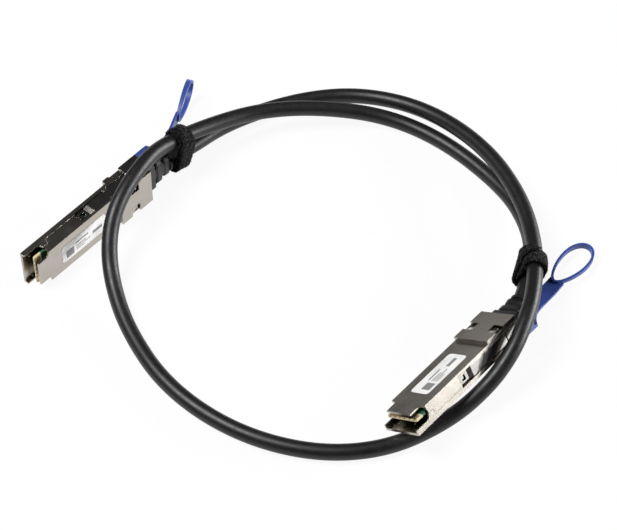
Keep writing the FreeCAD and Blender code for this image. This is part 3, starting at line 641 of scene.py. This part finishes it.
class FinishPlugs(bpy.types.Operator):
    """Nickel plate on the shells, covers, keepers, screws and latches"""
    bl_idname = "cable.finish_plugs"
    bl_label = "Plug metal"

    def execute(self, context):
        size = context.scene.cable_plugs
        shell = metal_finish("shell_nickel", size.shell, SHELL_ROUGHNESS)
        sheet = metal_finish("latch_steel", size.latch, LATCH_ROUGHNESS)
        dark = metal_finish("screw_steel", scaled(size.shell, 0.75), SCREW_ROUGHNESS)
        for name in PLUGS:
            for part in ("upper_shell", "rear_cover", "latch_keeper"):
                dress("%s_%s" % (name, part), shell)
            dress(name + "_lower_shell", nose_with_painted_shade(name, size))
            dress(name + "_latch_slide", sheet)
            dress(name + "_screw_1", dark)
            dress(name + "_screw_2", dark)
        return {"FINISHED"}


def ridge_points(path, radius, height, sides=7):
    """Half-round ridge on a flat face.

    The first parameter runs along the path, the second over a half circle flattened to the height.
    Each row stands square to the mean direction of the path at its point.
    """
    path = np.asarray(path, dtype=float)
    ahead = np.gradient(path, axis=0)
    ahead /= np.linalg.norm(ahead, axis=1)[:, None]
    aside = np.column_stack([-ahead[:, 1], ahead[:, 0]])
    turn = np.linspace(0, math.pi, sides)
    flat = path[:, None, :] + aside[:, None, :] * (radius * np.cos(turn))[None, :, None]
    return flat, np.broadcast_to(height * np.sin(turn), flat.shape[:2])


def dome_surface(spots, level):
    """Low domes standing on one level.

    The first parameter climbs a quarter circle from the rim to the crown and the second runs
    round, so the radius falls as its cosine and the height grows as its sine.
    """
    rows, cols = 5, 14
    rise, turn = np.meshgrid(np.linspace(0, math.pi / 2 * 0.96, rows),
                             np.linspace(0, 2 * math.pi, cols, endpoint=False), indexing="ij")
    reach = DOT_RADIUS * np.cos(rise)
    dome = np.stack([reach * np.cos(turn), reach * np.sin(turn), DOT_HEIGHT * np.sin(rise)], axis=-1)
    points = [(dome + (x, y, level)).reshape(-1, 3) for x, y in spots]
    faces = [grid_faces(rows, cols, False, True) + rows * cols * k for k in range(len(spots))]
    return np.concatenate(points), np.concatenate(faces)


def fill_surface():
    """Flat plates over the grooves: a grid along and across each groove, a hair above the face."""
    rows, cols = 5, 3
    points, faces = [], []
    for low, high in GROOVE_SIDES:
        x, y = np.meshgrid(np.linspace(*GROOVE_ENDS, rows), np.linspace(low, high, cols),
                           indexing="ij")
        faces.append(grid_faces(rows, cols, False, False) + rows * cols * len(points))
        points.append(np.stack([x, y, np.full_like(x, FILL_LEVEL)], axis=-1).reshape(-1, 3))
    return np.concatenate(points), np.concatenate(faces)


def seam_surface():
    """A ridge along the stepped parting line, on one side of the plug and then on the other."""
    corners = np.array(SEAM_CORNERS)
    legs = [np.linspace(a, b, 9)[:-1] for a, b in zip(corners[:-1], corners[1:])]
    flat, rise = ridge_points(np.concatenate(legs + [corners[-1:]]), SEAM_RADIUS, SEAM_HEIGHT)
    rows, cols = rise.shape
    grid = grid_faces(rows, cols, False, False)
    sides = [np.stack([flat[..., 0], sign * (HALF_WIDTH + rise), flat[..., 1]], axis=-1)
             for sign in (1, -1)]
    points = np.concatenate([side.reshape(-1, 3) for side in sides])
    return points, np.concatenate([grid[:, ::-1], grid + rows * cols])


class AddSeams(bpy.types.Operator):
    """Parting line of the two shells on both sides of each plug, lighter on the left plug as a
    painted highlight and darker on the right as painted shade
    """
    bl_idname = "cable.add_seams"
    bl_label = "Seams"

    def execute(self, context):
        shell = context.scene.cable_plugs.shell
        points, faces = seam_surface()
        for name, painted_light in SEAM_PAINTED_LIGHT.items():
            metal = metal_finish(name + "_seam_painted_light", scaled(shell, painted_light), SEAM_ROUGHNESS)
            seam = mesh_object(name + "_seam", from_plug(name, points), faces)
            seam.data.materials.append(metal)
            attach(seam, ROOT)
        return {"FINISHED"}


class AddFills(bpy.types.Operator):
    """Plate over two shallow grooves of the label face, and small embossed dots inside the nose"""
    bl_idname = "cable.add_fills"
    bl_label = "Groove fills and dots"

    def execute(self, context):
        shell = bpy.data.materials["shell_nickel"]
        plates, plate_faces = fill_surface()
        domes, dome_faces = dome_surface(DOT_SPOTS, NOSE_FLOOR)
        for name in PLUGS:
            fills = mesh_object(name + "_groove_fills", from_plug(name, plates), plate_faces,
                                smooth=False)
            dots = mesh_object(name + "_nose_dots", from_plug(name, domes), dome_faces)
            for thing in (fills, dots):
                thing.data.materials.append(shell)
                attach(thing, ROOT)
        return {"FINISHED"}


def pad_boxes():
    """Contact pads of both faces of a card: a row across, every third one longer to the front."""
    order = np.arange(PADS)
    across = (order - PADS // 2) * PAD_PITCH
    longer = np.where(order % 3 == 0, 0.3, 0.0)
    front, rear = PAD_ENDS
    return [[(front - extra, y - PAD_WIDTH / 2, bottom), (rear, y + PAD_WIDTH / 2, top)]
            for top, bottom in PAD_LAYERS for y, extra in zip(across, longer)]


def gap_boxes():
    """Dark gaps in the row of pads at the front edge of a card."""
    return [[(0.1, y - GAP_WIDTH / 2, -2.82), (1.5, y + GAP_WIDTH / 2, -2.765)]
            for y in np.arange(GAPS) * GAP_PITCH + FIRST_GAP]


class FinishCards(bpy.types.Operator):
    """Solder mask on the paddle cards and rows of gold contacts on both faces"""
    bl_idname = "cable.finish_cards"
    bl_label = "Cards and contacts"

    def execute(self, context):
        size = context.scene.cable_plugs
        gold = metal_finish("contact_gold", size.gold, GOLD_ROUGHNESS)
        shade = moulded_finish("contact_gap", scaled(size.cream, 0.12), 0.5, grain=0.000003,
                               round_edge=0.0)
        pads, pad_faces = block_points(pad_boxes())
        ticks, tick_faces = block_points(gap_boxes())
        for name in PLUGS:
            dress(name + "_paddle_card", card_finish(name, size))
            contacts = mesh_object(name + "_contacts", from_plug(name, pads), pad_faces,
                                   smooth=False)
            contacts.data.materials.append(gold)
            gaps = mesh_object(name + "_contact_gaps", from_plug(name, ticks), tick_faces,
                               smooth=False)
            gaps.data.materials.append(shade)
            for thing in (contacts, gaps):
                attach(thing, ROOT)
        return {"FINISHED"}


class FinishLabels(bpy.types.Operator):
    """Blank stickers with a plain square and plain bars"""
    bl_idname = "cable.finish_labels"
    bl_label = "Labels"

    def execute(self, context):
        size = context.scene.cable_plugs
        paper = moulded_finish("sticker", size.sticker, 0.4, grain=0.000003, round_edge=0.0)
        ink = moulded_finish("sticker_ink", size.ink, 0.5, grain=0.000003, round_edge=0.0)
        low, high = LABEL_LAYER
        points, faces = block_points([[(x0, y0, low), (x1, y1, high)]
                                      for x0, x1, y0, y1 in LABEL_BARS])
        for name in PLUGS:
            dress(name + "_label", paper)
            bars = mesh_object(name + "_label_bars", from_plug(name, points), faces, smooth=False)
            bars.data.materials.append(ink)
            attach(bars, ROOT)
        return {"FINISHED"}


class FinishBoots(bpy.types.Operator):
    """Matt rubber on the strain reliefs"""
    bl_idname = "cable.finish_boots"
    bl_label = "Strain reliefs"

    def execute(self, context):
        size = context.scene.cable_plugs
        rubber = moulded_finish("boot_rubber", size.boot, 0.42, grain=0.000012, round_edge=0.0004)
        for name in PLUGS:
            dress(name + "_strain_relief", rubber)
        return {"FINISHED"}


class FinishTabs(bpy.types.Operator):
    """Blue moulded plastic on the pull tabs"""
    bl_idname = "cable.finish_tabs"
    bl_label = "Pull tabs"

    def execute(self, context):
        size = context.scene.cable_tabs
        plastic = moulded_finish("tab_plastic", size.plastic, 0.38, grain=0.00001, round_edge=0.0003)
        shader = shader_of(plastic)
        shader.inputs["Sheen Weight"].default_value = 0.35
        shader.inputs["Sheen Roughness"].default_value = 0.35
        shader.inputs["Sheen Tint"].default_value = (0.55, 0.62, 1.0, 1.0)
        shader.inputs["Subsurface Weight"].default_value = 0.15
        shader.inputs["Subsurface Radius"].default_value = (0.2, 0.3, 1.0)
        shader.inputs["Subsurface Scale"].default_value = 0.001
        for name in PLUGS:
            dress(name + "_pull_tab", plastic)
        return {"FINISHED"}


# ---------------------------------------------------------------- studio

def add_lamp(name, direction, distance, width, height, power):
    """Area lamp in a direction from the middle of the object, facing it."""
    data = bpy.data.lights.new(name, "AREA")
    data.shape = "RECTANGLE"
    data.size, data.size_y = width, height
    data.energy = power
    lamp = bpy.data.objects.new(name, data)
    spot = Vector(direction).normalized() * distance
    lamp.location = spot
    lamp.rotation_euler = (-spot).to_track_quat("-Z", "Y").to_euler()
    bpy.context.scene.collection.objects.link(lamp)


def floor_finish(colour):
    """Matt paint that is mostly plain white to the camera and in reflections."""
    material, tree, shader = start_material("floor_paint", colour, roughness=0.9)
    shader.inputs["Specular IOR Level"].default_value = 0.1
    white = add_node(tree, "ShaderNodeEmission", Color=(1, 1, 1, 1), Strength=1.0)
    path = tree.nodes.new("ShaderNodeLightPath")
    seen = combine(tree, "MAXIMUM", path.outputs["Is Camera Ray"], path.outputs["Is Glossy Ray"],
                   path.outputs["Is Transmission Ray"])
    share = tree.nodes.new("ShaderNodeMath")
    share.operation = "MULTIPLY"
    share.inputs[1].default_value = WHITE_SHARE
    tree.links.new(seen, share.inputs[0])
    mix = tree.nodes.new("ShaderNodeMixShader")
    tree.links.new(share.outputs["Value"], mix.inputs["Fac"])
    tree.links.new(shader.outputs["BSDF"], mix.inputs[1])
    tree.links.new(white.outputs["Emission"], mix.inputs[2])
    tree.links.new(mix.outputs["Shader"], tree.nodes["Material Output"].inputs["Surface"])
    return material


def add_floor(colour):
    """Level floor that looks nearly white and still takes soft shadows: a flat grid at no height."""
    count, reach = 7, 3
    steps = np.linspace(-reach, reach, count)
    x, y = np.meshgrid(steps, steps, indexing="ij")
    faces = grid_faces(count, count, False, False)[:, ::-1]
    floor = mesh_object("studio_floor", np.stack([x, y, np.zeros_like(x)], axis=-1), faces)
    floor.data.materials.append(floor_finish(colour))


def add_world(strength):
    """Even, dim grey light all round."""
    world = bpy.data.worlds.new("studio_air")
    world.use_nodes = True
    soft = world.node_tree.nodes["Background"]
    soft.inputs["Color"].default_value = (1, 1, 1, 1)
    soft.inputs["Strength"].default_value = strength
    bpy.context.scene.world = world


def add_camera():
    """Camera that looks down on the whole cable from the front."""
    data = bpy.data.cameras.new("camera")
    data.sensor_width = 36.0
    data.lens = CAMERA_LENS
    camera = bpy.data.objects.new("camera", data)
    camera.location = CAMERA_PLACE
    camera.rotation_euler = Euler((math.radians(90 - CAMERA_DIP), 0, 0))
    bpy.context.scene.collection.objects.link(camera)
    bpy.context.scene.camera = camera


class AddStage(bpy.types.Operator):
    """Floor, lamps, even light and the camera"""
    bl_idname = "cable.add_stage"
    bl_label = "Stage"

    def execute(self, context):
        size = context.scene.cable_stage
        add_floor(size.floor)
        add_world(size.fill)
        add_lamp("lamp_overhead", direction=(-0.47, -0.04, 0.88), distance=1.3,
                 width=0.55, height=0.55, power=size.key)
        add_lamp("lamp_right", direction=(0.945, 0.225, 0.225), distance=1.3,
                 width=1.3, height=0.55, power=size.side)
        add_camera()
        context.scene.view_settings.view_transform = "Standard"
        return {"FINISHED"}


OPERATORS = (AddTies, AddCable, FinishPlugs, AddSeams, AddFills, FinishCards, FinishLabels,
             FinishBoots, FinishTabs, AddStage)


# ---------------------------------------------------------------- add-on

class CablePanel(bpy.types.Panel):
    """Sizes, colours and steps of the cable"""
    bl_idname = "VIEW3D_PT_direct_attach_cable"
    bl_label = "Direct attach cable"
    bl_space_type = "VIEW_3D"
    bl_region_type = "UI"
    bl_category = "Cable"

    def draw(self, context):
        layout = self.layout
        for attribute, group in SETTINGS.items():
            box = layout.box()
            box.label(text=attribute.replace("_", " ").capitalize())
            for key in group.__annotations__:
                box.prop(getattr(context.scene, attribute), key)
        for operator in OPERATORS:
            layout.operator(operator.bl_idname)


CLASSES = tuple(SETTINGS.values()) + OPERATORS + (CablePanel,)


def register():
    """Classes and the settings that they need."""
    for item in CLASSES:
        bpy.utils.register_class(item)
    for attribute, group in SETTINGS.items():
        setattr(bpy.types.Scene, attribute, PointerProperty(type=group))


def unregister():
    """Take the settings and the classes away again."""
    for attribute in SETTINGS:
        delattr(bpy.types.Scene, attribute)
    for item in reversed(CLASSES):
        bpy.utils.unregister_class(item)


def main():
    """Run every step in order."""
    register()
    for operator in OPERATORS:
        group, name = operator.bl_idname.split(".")
        getattr(getattr(bpy.ops, group), name)()
    bpy.context.view_layer.update()


if __name__ == "__main__":
    main()
